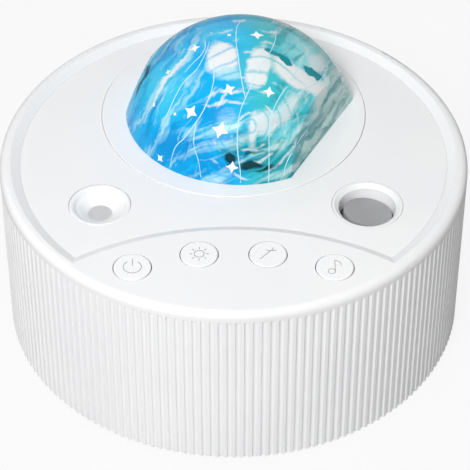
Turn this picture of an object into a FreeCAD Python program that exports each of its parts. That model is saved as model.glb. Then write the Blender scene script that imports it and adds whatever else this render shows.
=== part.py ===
"""Star night light projector: a ribbed drum with a crystal dome, two light ports and four keys.

Millimetres, +Z up, front (the keys) towards -Y, origin on the table under the drum's axis.
"""
import FreeCAD, Part
import math
import os
import re

import Sketcher
from FreeCAD import Rotation, Vector

doc = FreeCAD.newDocument("StarProjector")

# Driving dimensions: millimetres, or degrees and counts where the name says so
SIZES = {
    # drum
    "drum_radius": 80.0,
    "drum_wall": 3.0,
    "drum_height": 66.0,
    "rim_round": 2.5,
    "flute_count": 180,
    "flute_depth": 0.6,
    "flute_share": 0.6,
    "flute_top_gap": 3.6,
    "panel_thick": 2.4,
    "panel_wall": 2.0,
    # recessed deck, its sloping border and the island that carries the keys
    "deck_sink": 1.5,
    "deck_thick": 2.4,
    "rim_width": 7.0,
    "slope_width": 3.2,
    "ledge_width": 3.4,
    "ledge_thick": 2.0,
    "island_radius": 91.3,
    "island_depth": 40.1,
    "seat_gap": 0.15,
    "deck_gap": 0.05,
    # keys
    "key_inset": 11.3,
    "key_pitch_deg": 16.0,
    "key_radius": 6.1,
    "key_gap": 0.3,
    "key_proud": 0.3,
    "key_flange": 1.0,
    "key_flange_thick": 1.2,
    "key_round": 0.4,
    "key_travel": 0.5,
    "key_stem_radius": 1.5,
    "key_post_radius": 2.4,
    "key_post_back": 6.0,
    "key_post_front": 9.1,
    # dome and its collar
    "dome_x": 2.4,
    "collar_margin": 2.8,
    "collar_radius": 46.2,
    "collar_flange": 1.4,
    "collar_proud": 0.35,
    "collar_lip": 4.2,
    "collar_gap": 3.8,
    "collar_round": 0.3,
    "dome_radius": 40.2,
    "dome_height": 32.0,
    "dome_wall": 2.6,
    "dome_lug_radius": 1.8,
    "dome_lug_inset": 2.3,
    "dome_lug_depth": 1.6,
    # light ports in the deck
    "port_margin": 21.5,
    "port_angle_deg": 30.0,
    "port_flange": 1.6,
    "port_nozzle": 2.8,
    "port_rim": 0.8,
    "port_lip_sink": 1.2,
    "port_flange_thick": 1.2,
    "star_port_radius": 10.3,
    "star_port_lip": 7.9,
    "star_port_throat": 3.9,
    "star_port_depth": 3.8,
    "sky_port_radius": 11.8,
    "sky_port_lip": 9.6,
    "sky_port_throat": 9.0,
    "sky_port_depth": 6.0,
    "window_thick": 1.0,
    "throat_height": 0.6,
    "lens_barrel_drop": 8.4,
    # base and feet
    "foot_proud": 1.2,
    "foot_radius": 6.0,
    "foot_thick": 2.2,
    "foot_inset": 19.0,
    "base_thick": 2.5,
    "base_gap": 0.3,
    "boss_radius": 4.4,
    "boss_bite": 0.8,
    "boss_angle_deg": 45.0,
    "screw_radius": 1.4,
    "screw_head": 2.7,
    "screw_head_thick": 1.5,
    "screw_length": 10.0,
    "small_screw": 0.9,
    "small_head": 1.8,
    "small_head_thick": 1.1,
    "small_length": 5.0,
    # speaker
    "speaker_margin": 30.0,
    "speaker_radius": 29.0,
    "speaker_flange_thick": 1.6,
    "speaker_flange": 3.6,
    "basket_wall": 1.2,
    "basket_height": 12.0,
    "gasket_thick": 0.8,
    "magnet_radius": 13.0,
    "magnet_thick": 8.0,
    "coil_radius": 6.0,
    "coil_gap": 0.6,
    "coil_depth": 3.0,
    "cone_radius": 20.0,
    "cone_thick": 0.6,
    "surround_thick": 0.6,
    "surround_width": 3.8,
    "grille_hole": 1.25,
    "grille_pitch": 4.6,
    "grille_rings": 4,
    # light engine under the dome
    "engine_plate_z": 48.0,
    "engine_plate_thick": 2.4,
    "engine_inset": 1.5,
    "engine_post_radius": 2.6,
    "reflector_radius": 20.0,
    "reflector_height": 9.0,
    "reflector_throat": 11.0,
    "reflector_wall": 1.6,
    "led_board_lap": 3.4,
    "led_size": 5.0,
    "led_circle": 6.0,
    "led_thick": 1.0,
    "sink_inset": 1.0,
    "sink_base": 3.0,
    "sink_height": 11.0,
    "fin_count": 9,
    "fin_pitch": 3.9,
    "fin_thick": 1.2,
    # ripple turntable and its drive
    "gear_module": 0.8,
    "wheel_teeth": 66,
    "pinion_teeth": 12,
    "gear_thick": 4.0,
    "gear_backlash": 0.2,
    "gear_dedendum": 1.25,
    "gear_pressure_deg": 20.0,
    "run_gap": 0.06,
    "thrust_gap": 0.3,
    "ripple_wall": 1.8,
    "ripple_height": 24.0,
    "ripple_round": 12.0,
    "motor_radius": 6.0,
    "motor_length": 15.0,
    "shaft_radius": 1.0,
    # modules under the two ports
    "module_plate_z": 42.0,
    "module_plate_thick": 3.0,
    "module_edge": 3.0,
    "module_post_out_x": 11.7,
    "module_post_out_y": 10.7,
    "module_post_in_x": 8.8,
    "module_post_in_y": 13.5,
    "module_post_radius": 2.0,
    "disc_lap": 1.0,
    "disc_thick": 1.2,
    "disc_gap": 1.4,
    "disc_hub_radius": 3.0,
    "disc_offset": 11.0,
    "disc_turn_deg": 25.0,
    "beam_radius": 4.5,
    "beam_length": 18.0,
    "beam_top_gap": 1.6,
    "beam_flange": 1.4,
    "beam_bore": 2.2,
    "lens_inset": 0.8,
    "lens_thick": 2.4,
    "lens_land": 1.4,
    "lens_lift": 0.2,
    "lens_tilt_deg": 10.0,
    # boards
    "board_thick": 1.6,
    "key_board_drop": 11.6,
    "key_board_side": 6.5,
    "key_board_front": 12.1,
    "key_board_back": 8.7,
    "switch_size": 6.0,
    "switch_height": 3.4,
    "plunger_radius": 1.7,
    "plunger_height": 1.2,
    "main_board_z": 8.5,
    "main_board_wide": 48.0,
    "main_board_deep": 40.0,
    "main_board_margin": 5.0,
    "board_hole_inset": 4.0,
    "board_hole_back": 6.0,
    "chip_side": 9.0,
    "chip_thick": 1.4,
    "can_radius": 3.1,
    "can_height": 7.5,
    "radio_wide": 16.0,
    "radio_deep": 12.0,
    "radio_thick": 0.8,
    "shield_inset": 1.0,
    "shield_height": 1.6,
    "standoff_radius": 2.6,
    # power socket and the recess for its plug
    "socket_width": 9.0,
    "socket_height": 3.2,
    "socket_length": 7.5,
    "socket_wall": 0.4,
    "socket_tongue": 0.7,
    "recess_width": 13.0,
    "recess_height": 7.6,
    "recess_depth": 1.8,
}

sheet = doc.addObject("Spreadsheet::Sheet", "Sizes")
for row, (alias, size) in enumerate(SIZES.items(), start=1):
    sheet.set(f"A{row}", alias)
    sheet.set(f"B{row}", str(size))
    sheet.setAlias(f"B{row}", alias)
doc.recompute()

# Heights that several pieces share, each a sum of the sizes above
RIM_TOP = "(foot_proud + drum_height)"
PANEL_LOW = f"({RIM_TOP} - panel_thick)"
DECK_TOP = f"({RIM_TOP} - deck_sink)"
DECK_LOW = f"({DECK_TOP} - deck_thick)"
LEDGE_LOW = f"({DECK_LOW} - ledge_thick)"
BASE_TOP = "(foot_proud + base_thick)"
COLLAR_TOP = f"({DECK_TOP} + collar_proud)"

# Radii and places in plan, each tied to the drum or to its neighbour
DRUM_BORE = "(drum_radius - drum_wall)"
DECK_RADIUS = "(drum_radius - rim_width)"
ISLAND_Y = "(drum_radius - island_depth + island_radius)"
KEY_CIRCLE = "(island_radius - key_inset)"
KEY_ROW = f"({ISLAND_Y} - {KEY_CIRCLE} * cos(key_pitch_deg * 1 deg))"
DOME_Y = f"({DECK_RADIUS} - collar_margin - collar_radius)"
COLLAR_SPIGOT = "(collar_radius - collar_lip)"
POST_CIRCLE = f"({COLLAR_SPIGOT} - engine_inset - engine_post_radius - thrust_gap)"
LUG_CIRCLE = "(dome_radius - dome_lug_inset)"
PORT_X = f"(({DECK_RADIUS} - port_margin) * cos(port_angle_deg * 1 deg))"
PORT_Y = f"(({DECK_RADIUS} - port_margin) * sin(port_angle_deg * 1 deg))"
FOOT_CIRCLE = f"({DRUM_BORE} - foot_inset)"
SPEAKER_Y = f"({DRUM_BORE} - speaker_margin - speaker_radius)"
SPEAKER_SCREWS = "(speaker_radius - speaker_flange / 2)"
BASKET_RADIUS = "(speaker_radius - speaker_flange)"
LAMP_CIRCLE = "(reflector_radius + led_board_lap / 2 + seat_gap)"
WHEEL_TIP = "(gear_module * (wheel_teeth / 2 + 1))"
RIPPLE_RADIUS = "(gear_module * (wheel_teeth / 2 - 1.75))"
COLLAR_BORE = f"({WHEEL_TIP} + collar_gap)"
DISC_RADIUS = "(disc_offset + beam_radius + disc_lap)"
DISC_X = f"({PORT_X} - disc_offset * cos(disc_turn_deg * 1 deg))"
DISC_Y = f"({PORT_Y} - disc_offset * sin(disc_turn_deg * 1 deg))"
LENS_RADIUS = "(sky_port_throat - lens_inset)"
BOARD_BACK = f"({DRUM_BORE} - main_board_margin)"
BOARD_MIDDLE = f"({BOARD_BACK} - main_board_deep / 2)"
BOSS_CIRCLE = f"({DRUM_BORE} - boss_radius + boss_bite)"
KEY_BOARD_TOP = f"({PANEL_LOW} - key_board_drop)"
PLATE_TOP = "(engine_plate_z + engine_plate_thick)"
GEAR_LOW = f"({PLATE_TOP} + thrust_gap)"
GEAR_TOP = f"({GEAR_LOW} + gear_thick)"
GEAR_CENTRES = "(gear_module * (wheel_teeth + pinion_teeth) / 2)"
MODULE_TOP = "(module_plate_z + module_plate_thick)"
STAR_WINDOW_LOW = f"({DECK_TOP} - star_port_depth - window_thick)"
LENS_BARREL_LOW = f"({DECK_TOP} - lens_barrel_drop)"
DISC_LOW = f"({LENS_BARREL_LOW} - disc_gap - disc_thick)"
MAIN_BOARD_TOP = "(main_board_z + board_thick)"
SPEAKER_LOW = f"({BASE_TOP} + gasket_thick)"
FLANGE_TOP = f"({SPEAKER_LOW} + surround_thick + speaker_flange_thick)"


def bound(text):
    """The sum as an expression in which each driving dimension reads its sheet cell."""
    return re.sub(r"[a-z_]{3,}", lambda m: "Sizes." + m[0] if m[0] in SIZES else m[0], str(text))


def val(text):
    """The sum worked out from the sheet, for shapes that are set from code."""
    return float(sheet.evalExpression(bound(text)))


def bind(thing, **sums):
    for name, text in sums.items():
        thing.setExpression(name, bound(text))
    return thing


def at(thing, x="0", y="0", z="0"):
    """Places the object at a point given as sums."""
    for axis, text in (("x", x), ("y", y), ("z", z)):
        if text != "0":
            thing.setExpression(f".Placement.Base.{axis}", bound(text))
    return thing


def cylinder(name, radius, height, x="0", y="0", z="0"):
    thing = doc.addObject("Part::Cylinder", name)
    return at(bind(thing, Radius=radius, Height=height), x, y, z)


def cone(name, low, high, height, x="0", y="0", z="0"):
    thing = doc.addObject("Part::Cone", name)
    return at(bind(thing, Radius1=low, Radius2=high, Height=height), x, y, z)


def box(name, wide, deep, high, x="0", y="0", z="0"):
    """A box centred on x and y, standing on z."""
    thing = doc.addObject("Part::Box", name)
    bind(thing, Length=wide, Width=deep, Height=high)
    return at(thing, f"{x} - ({wide}) / 2", f"{y} - ({deep}) / 2", z)


def fuse(name, things):
    whole = doc.addObject("Part::MultiFuse", name)
    whole.Shapes = list(things)
    return whole


def cut(name, base, tools):
    """The base less one or more tools."""
    tools = list(tools)
    tool = tools[0] if len(tools) == 1 else fuse(name + "Tools", tools)
    whole = doc.addObject("Part::Cut", name)
    whole.Base = base
    whole.Tool = tool
    return whole


def common(name, one, other):
    whole = doc.addObject("Part::Common", name)
    whole.Base = one
    whole.Tool = other
    return whole


def lathe(name, corners, x="0", y="0", rounds=()):
    """A body turned about Z from corners given as (radius, height) sums.

    rounds lists (corner number, fillet radius).
    """
    body = doc.addObject("PartDesign::Body", name)
    sketch = body.newObject("Sketcher::SketchObject", name + "Profile")
    plane = next(o for o in body.Origin.OriginFeatures if o.Role == "XZ_Plane")
    sketch.AttachmentSupport = [(plane, "")]
    sketch.MapMode = "FlatFace"
    spots = [(val(radius), val(height)) for radius, height in corners]
    for number, spot in enumerate(spots):
        after = spots[(number + 1) % len(spots)]
        sketch.addGeometry(Part.LineSegment(Vector(*spot, 0), Vector(*after, 0)), False)
    for number in range(len(spots)):
        sketch.addConstraint(Sketcher.Constraint("Coincident", number, 2, (number + 1) % len(spots), 1))
    for number, (radius, height) in enumerate(corners):
        if radius == "0":
            sketch.addConstraint(Sketcher.Constraint("PointOnObject", number, 1, -2))
        else:
            datum = Sketcher.Constraint("DistanceX", -1, 1, number, 1, spots[number][0])
            sketch.setExpression(f"Constraints[{sketch.addConstraint(datum)}]", bound(radius))
        datum = Sketcher.Constraint("DistanceY", -1, 1, number, 1, spots[number][1])
        sketch.setExpression(f"Constraints[{sketch.addConstraint(datum)}]", bound(height))
    turned = body.newObject("PartDesign::Revolution", name + "Turned")
    turned.Profile = sketch
    turned.ReferenceAxis = (sketch, ["V_Axis"])
    turned.Angle = 360
    last = turned
    for order, (number, radius) in enumerate(rounds):
        doc.recompute()
        edge = ring_edge(last.Shape, *spots[number])
        rounded = body.newObject("PartDesign::Fillet", f"{name}Round{order}")
        rounded.Base = (last, [edge])
        bind(rounded, Radius=radius)
        last = rounded
    return at(body, x, y)


def ring_edge(shape, radius, height):
    """The name of the round edge of that radius at that height."""
    for number, edge in enumerate(shape.Edges, start=1):
        ring = edge.Curve
        if isinstance(ring, Part.Circle) and abs(ring.Radius - radius) + abs(ring.Center.z - height) < 1e-4:
            return f"Edge{number}"
    raise ValueError(f"no round edge at {radius}, {height}")


def shaped(name, shape):
    """A piece whose shape is set from code."""
    thing = doc.addObject("Part::Feature", name)
    thing.Shape = shape
    return thing


def spin(circle, degrees, y="0"):
    """Sums for a point on a circle about Z, and about y if that is given."""
    return f"({circle}) * cos(({degrees}) * 1 deg)", f"{y} + ({circle}) * sin(({degrees}) * 1 deg)"


KEPT = {}


def keep(node, thing):
    """Names the finished piece as a node."""
    thing.Label = node
    KEPT[node] = thing
    return thing


KEYS = ("power", "light", "mode", "music")


def key_spot(number):
    """Sums for the middle of a key: they stand on an arc about the island's own centre."""
    turn = f"({number} - 1.5) * key_pitch_deg"
    return f"{KEY_CIRCLE} * sin({turn} * 1 deg)", f"{KEY_CIRCLE} * cos({turn} * 1 deg) - {ISLAND_Y}"


def island(name, extra_low, extra_high, height, z):
    """The round tool that keeps the island's curved front region, wider by the given sums."""
    low, high = f"island_radius + {extra_low}", f"island_radius + {extra_high}"
    if extra_low == extra_high:
        return cylinder(name, low, height, "0", f"-{ISLAND_Y}", z)
    return cone(name, low, high, height, "0", f"-{ISLAND_Y}", z)


def flutes():
    """The ring of metal between the drum's skin and the bottom of its flutes, one flute a pitch."""
    skin = val("drum_radius")
    depth = val("flute_depth")
    pitch = 2 * math.pi / int(val("flute_count"))
    half = pitch * val("flute_share") / 2
    edges = []
    first = last = None
    for number in range(int(val("flute_count"))):
        mid = number * pitch + pitch / 2
        left = Vector(skin * math.cos(mid - half), skin * math.sin(mid - half), 0)
        deep = Vector((skin - depth) * math.cos(mid), (skin - depth) * math.sin(mid), 0)
        right = Vector(skin * math.cos(mid + half), skin * math.sin(mid + half), 0)
        if last is None:
            first = left
        else:
            ridge = mid - pitch / 2
            crest = Vector(skin * math.cos(ridge), skin * math.sin(ridge), 0)
            edges.append(Part.Arc(last, crest, left).toShape())
        edges.append(Part.Arc(left, deep, right).toShape())
        last = right
    crest = Vector(skin, 0, 0)
    edges.append(Part.Arc(last, crest, first).toShape())
    star = Part.Wire(edges)
    height = val("drum_height - flute_top_gap")
    fluted = Part.Face(star).extrude(Vector(0, 0, height))
    ring = Part.makeCylinder(skin + 2 * depth, height).cut(fluted)
    ring.translate(Vector(0, 0, val("foot_proud")))
    return ring


def make_housing():
    """The drum with its rim, the key island and the ledge that carries the deck."""
    cup = lathe(
        "DrumCup",
        [
            (DRUM_BORE, "foot_proud"),
            ("drum_radius", "foot_proud"),
            ("drum_radius", RIM_TOP),
            ("0", RIM_TOP),
            ("0", LEDGE_LOW),
            (DRUM_BORE, LEDGE_LOW),
        ],
        rounds=[(2, "rim_round")],
    )
    pit = cylinder("DeckPit", DECK_RADIUS, "deck_thick", z=DECK_LOW)
    slope = cone("DeckSlope", DECK_RADIUS, f"{DECK_RADIUS} + slope_width", "deck_sink", z=DECK_TOP)
    pit_island = island("PitIsland", "slope_width", "slope_width", "deck_thick", DECK_LOW)
    slope_island = island("SlopeIsland", "slope_width", "0", "deck_sink", DECK_TOP)
    hollow = cylinder("DeckHollow", f"{DECK_RADIUS} - ledge_width", "ledge_thick", z=LEDGE_LOW)
    hollow_island = island(
        "HollowIsland", "slope_width + ledge_width", "slope_width + ledge_width", "ledge_thick", LEDGE_LOW
    )
    under_round = cylinder(
        "PanelUnderRound", f"{DRUM_BORE} - panel_wall", f"{PANEL_LOW} - {LEDGE_LOW}", z=LEDGE_LOW,
    )
    under_arc = island(
        "PanelUnderArc", "- panel_wall", "- panel_wall", f"{PANEL_LOW} - {LEDGE_LOW}", LEDGE_LOW,
    )
    holes = [
        cylinder(
            f"KeyHole{n}", "key_radius + key_gap", "3 * panel_thick", *key_spot(n),
            f"{PANEL_LOW} - panel_thick",
        )
        for n in range(len(KEYS))
    ]
    recess = box(
        "PlugRecess", "recess_width", "2 * recess_depth", "recess_height",
        "0", "drum_radius", f"{MAIN_BOARD_TOP} + socket_height / 2 - recess_height / 2",
    )
    slot = box(
        "SocketSlot", "socket_width + 2 * seat_gap", "4 * drum_wall", "socket_height + 2 * seat_gap",
        "0", "drum_radius - drum_wall", f"{MAIN_BOARD_TOP} - seat_gap",
    )
    opened = cut(
        "OpenedCup",
        cup,
        [
            cut("PitTool", pit, [pit_island]),
            cut("SlopeTool", slope, [slope_island]),
            cut("HollowTool", hollow, [hollow_island]),
            common("UnderPanelTool", under_round, under_arc),
            *holes,
            recess,
            slot,
            shaped("FluteRing", flutes()),
        ],
    )
    bosses = [
        cylinder(f"Boss{n}", "boss_radius", f"{LEDGE_LOW} - {BASE_TOP}", *BOSS_SPOTS[n], BASE_TOP)
        for n in range(4)
    ]
    posts = [
        cylinder(f"KeyPost{n}", "key_post_radius", "key_board_drop", x, y, KEY_BOARD_TOP)
        for n, (x, y) in enumerate(KEY_POSTS)
    ]
    pilots = [
        cylinder(f"BossPilot{n}", "screw_radius", "screw_length", *BOSS_SPOTS[n], BASE_TOP)
        for n in range(4)
    ]
    post_pilots = [
        cylinder(f"PostPilot{n}", "small_screw", "small_length", x, y, KEY_BOARD_TOP)
        for n, (x, y) in enumerate(KEY_POSTS)
    ]
    deck_holes = [
        cylinder(f"LedgeHole{n}", "small_screw", "ledge_thick", x, y, LEDGE_LOW)
        for n, (x, y) in enumerate(DECK_SCREWS)
    ]
    whole = fuse("BossedCup", [opened, *bosses, *posts])
    return keep("drum_housing", cut("DrumHousing", whole, pilots + post_pilots + deck_holes))


BOSS_SPOTS = [spin(BOSS_CIRCLE, f"boss_angle_deg + {90 * n}") for n in range(4)]
FOOT_SPOTS = [spin(FOOT_CIRCLE, f"boss_angle_deg + {90 * n}") for n in range(4)]
KEY_POSTS = [
    (f"{side} * {KEY_CIRCLE} * sin(key_pitch_deg * 1 deg)", f"{row} - {KEY_ROW}")
    for side in (-1, 1)
    for row in ("key_post_back", "-key_post_front")
]
MODULE_POSTS = [
    (f"{side} * ({PORT_X} + {out})", f"-({PORT_Y} + {front})")
    for side in (-1, 1)
    for out, front in (
        ("module_post_in_x", "-module_post_in_y"), ("module_post_out_x", "module_post_out_y"),
    )
]
DECK_SCREWS = [
    spin(f"{DECK_RADIUS} - ledge_width / 2", angle) for angle in (0, 60, 120, 180)
]


def make_deck():
    """The recessed deck, with seats for the collar and the two port bezels."""
    disc = cylinder("DeckDisc", f"{DECK_RADIUS} - deck_gap", "deck_thick", z=DECK_LOW)
    tools = [
        island("DeckIsland", "slope_width + deck_gap", "slope_width + deck_gap", "deck_thick", DECK_LOW),
        cylinder("CollarHole", f"{COLLAR_SPIGOT} + seat_gap", "deck_thick", "0", DOME_Y, DECK_LOW),
        cylinder(
            "CollarSeat", "collar_radius + seat_gap", "deck_thick", "0", DOME_Y,
            f"{COLLAR_TOP} - collar_flange",
        ),
        cylinder(
            "StarHole", "star_port_radius + seat_gap", "deck_thick", f"-{PORT_X}", f"-{PORT_Y}",
            DECK_LOW,
        ),
        cylinder("SkyHole", "sky_port_radius + seat_gap", "deck_thick", PORT_X, f"-{PORT_Y}", DECK_LOW),
    ]
    pilots = [
        cylinder(f"DeckPilot{n}", "small_screw", "deck_thick / 2", x, y, DECK_LOW)
        for n, (x, y) in enumerate(DECK_SCREWS)
    ]
    posts = [
        cylinder(f"ModulePost{n}", "module_post_radius", f"{DECK_LOW} - {MODULE_TOP}", x, y, MODULE_TOP)
        for n, (x, y) in enumerate(MODULE_POSTS)
    ]
    post_pilots = [
        cylinder(f"ModulePilot{n}", "small_screw", "small_length - module_plate_thick", x, y, MODULE_TOP)
        for n, (x, y) in enumerate(MODULE_POSTS)
    ]
    pierced = cut("PiercedDeck", disc, tools + pilots)
    keep("deck_plate", cut("DeckPlate", fuse("PostedDeck", [pierced, *posts]), post_pilots))


def lug_spot(angle):
    """Sums for one of the dome's lugs, on a circle about the dome's own axis."""
    x, y = spin(LUG_CIRCLE, angle, DOME_Y)
    return f"dome_x + {x}", y


def make_collar():
    """The round collar that the dome stands on; its spigot carries the light engine."""
    ring = lathe(
        "CollarRing",
        [
            (COLLAR_BORE, COLLAR_TOP),
            (COLLAR_BORE, DECK_LOW),
            (COLLAR_SPIGOT, DECK_LOW),
            (COLLAR_SPIGOT, f"{COLLAR_TOP} - collar_flange"),
            ("collar_radius", f"{COLLAR_TOP} - collar_flange"),
            ("collar_radius", COLLAR_TOP),
        ],
        y=DOME_Y,
        rounds=[(5, "collar_round")],
    )
    lug_holes = [
        cylinder(f"LugHole{n}", "dome_lug_radius + seat_gap", "2 * dome_lug_depth",
                 *lug_spot(angle), f"{COLLAR_TOP} - dome_lug_depth - seat_gap")
        for n, angle in enumerate(LUG_ANGLES)
    ]
    posts = [
        cylinder(f"CollarPost{n}", "engine_post_radius", f"{DECK_LOW} - {PLATE_TOP}",
                 *spin(POST_CIRCLE, angle, DOME_Y), PLATE_TOP)
        for n, angle in enumerate(POST_ANGLES)
    ]
    pilots = [
        cylinder(f"CollarPilot{n}", "small_screw", "small_length - engine_plate_thick",
                 *spin(POST_CIRCLE, angle, DOME_Y), PLATE_TOP)
        for n, angle in enumerate(POST_ANGLES)
    ]
    whole = fuse("PostedCollar", [ring, *posts])
    keep("dome_collar", cut("DomeCollar", whole, lug_holes + pilots))


LUG_ANGLES = (70, 110, 250, 290)
POST_ANGLES = (30, 150, 210, 330)

# Flat faces of the crystal: direction in degrees, share of the radius kept at its foot, lean from upright
FACETS = (
    (-28, 0.8, 6),
    (163, 0.95, 17),
)


def crystal(radius, height, inset, foot):
    """A cap of a sphere with flat faces cut on its sides; inset moves every face inwards."""
    ball = (radius * radius + height * height) / (2 * height)
    solid = Part.makeSphere(ball - inset, Vector(0, 0, height - ball))
    reach = 4 * radius
    below = Part.makeBox(2 * reach, 2 * reach, reach, Vector(-reach, -reach, -reach))
    solid = solid.cut(below)
    for direction, share, lean in FACETS:
        block = Part.makeBox(reach, reach, reach, Vector(0, -reach / 2, -reach / 2))
        block.rotate(Vector(0, 0, 0), Vector(0, 1, 0), -lean)
        block.translate(Vector(radius * share - inset, 0, 0))
        block.rotate(Vector(0, 0, 0), Vector(0, 0, 1), direction)
        solid = solid.cut(block)
    solid.translate(foot)
    return solid


def make_dome():
    """The clear crystal cover with its hollow and four locating lugs."""
    foot = Vector(val("dome_x"), val(DOME_Y), val(COLLAR_TOP))
    radius, height, wall = val("dome_radius"), val("dome_height"), val("dome_wall")
    outer = crystal(radius, height, 0, foot)
    inner = crystal(radius, height, wall, foot)
    shell = outer.cut(inner)
    for angle in LUG_ANGLES:
        x, y = (val(text) for text in lug_spot(angle))
        lug = Part.makeCylinder(val("dome_lug_radius"), val("dome_lug_depth + dome_wall"),
                                Vector(x, y, val(f"{COLLAR_TOP} - dome_lug_depth")))
        shell = shell.fuse(lug)
    keep("dome_cover", shaped("DomeCover", shell.removeSplitter()))


def bezel(node, name, side, radius, lip, throat, depth):
    """A port's bezel, pushed in from below until its flange meets the deck: a soft funnel to its throat."""
    low = f"{DECK_TOP} - {depth}"
    ring = lathe(
        name,
        [
            (throat, low),
            (f"{throat} + port_nozzle", low),
            (f"{throat} + port_nozzle", f"{DECK_LOW} - port_flange_thick"),
            (f"{radius} + port_flange", f"{DECK_LOW} - port_flange_thick"),
            (f"{radius} + port_flange", DECK_LOW),
            (radius, DECK_LOW),
            (radius, DECK_TOP),
            (f"{radius} - port_rim", DECK_TOP),
            (lip, f"{DECK_TOP} - port_lip_sink"),
            (throat, f"{low} + throat_height"),
        ],
        f"{side} * {PORT_X}",
        f"-{PORT_Y}",
    )
    keep(node, ring)


def make_star_window():
    keep(
        "star_window",
        cylinder(
            "StarWindow", "star_port_throat + port_flange", "window_thick", f"-{PORT_X}",
            f"-{PORT_Y}", STAR_WINDOW_LOW,
        ),
    )


def tilted(thing, x, y, z):
    """Stands a piece of the sky lens on its tilted seat, high at the front, low at the rear and the side."""
    at(thing, x, y, z)
    thing.Placement.Rotation = Rotation(Vector(-1, 1, 0), val("lens_tilt_deg"))
    return thing


def make_sky_optics():
    """The tilted lens in the right port and the barrel that seats it."""
    seat = f"{DECK_TOP} - sky_port_depth + lens_lift"
    foot = f"{DECK_TOP} - sky_port_depth"
    outer = cylinder(
        "LensBarrelFoot", "sky_port_throat + port_flange", f"{foot} - {LENS_BARREL_LOW}", PORT_X,
        f"-{PORT_Y}", LENS_BARREL_LOW,
    )
    inner = cylinder(
        "LensBarrelNose", "sky_port_throat - seat_gap", "sky_port_depth", PORT_X, f"-{PORT_Y}",
        foot,
    )
    above = tilted(
        cylinder("LensBarrelFace", "2 * sky_port_radius", "2 * sky_port_depth"), PORT_X,
        f"-{PORT_Y}", seat,
    )
    bore = cylinder(
        "LensBarrelBore", f"{LENS_RADIUS} - lens_land", "4 * sky_port_depth", PORT_X, f"-{PORT_Y}",
        f"{LENS_BARREL_LOW} - sky_port_depth",
    )
    keep("sky_lens_barrel", cut("LensBarrel", fuse("LensBarrelSolid", [outer, inner]), [above, bore]))
    keep("sky_lens", tilted(cylinder("SkyLens", LENS_RADIUS, "lens_thick"), PORT_X, f"-{PORT_Y}", seat))


def tooth_side(radius, pitch_radius, base_radius, half_pitch_tooth):
    """Half the angle of an involute tooth at a radius; below the base circle its sides are radial."""
    pressure = math.acos(base_radius / pitch_radius)
    here = math.acos(min(1.0, base_radius / radius))
    return half_pitch_tooth + (math.tan(pressure) - pressure) - (math.tan(here) - here)


def gear(name, teeth, bore):
    """An involute spur gear about Z, with its first tooth centred on +X."""
    module = val("gear_module")
    count = int(val(teeth))
    pitch_radius = module * count / 2
    base_radius = pitch_radius * math.cos(math.radians(val("gear_pressure_deg")))
    root = pitch_radius - module * val("gear_dedendum")
    tip = pitch_radius + module
    half = (math.pi * module / 2 - val("gear_backlash")) / (2 * pitch_radius)
    start = max(root, base_radius)
    steps = 5
    radii = [root] + [start + (tip - start) * n / steps for n in range(0 if start > root else 1, steps + 1)]
    points = []
    for number in range(count):
        middle = 2 * math.pi * number / count
        for side, run in ((-1, radii), (1, radii[::-1])):
            for radius in run:
                turn = middle + side * tooth_side(radius, pitch_radius, base_radius, half)
                points.append(Vector(radius * math.cos(turn), radius * math.sin(turn), 0))
    height = val("gear_thick")
    blank = Part.Face(Part.makePolygon(points + points[:1])).extrude(Vector(0, 0, height))
    return shaped(name, blank.cut(Part.makeCylinder(val(bore), height)))


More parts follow.
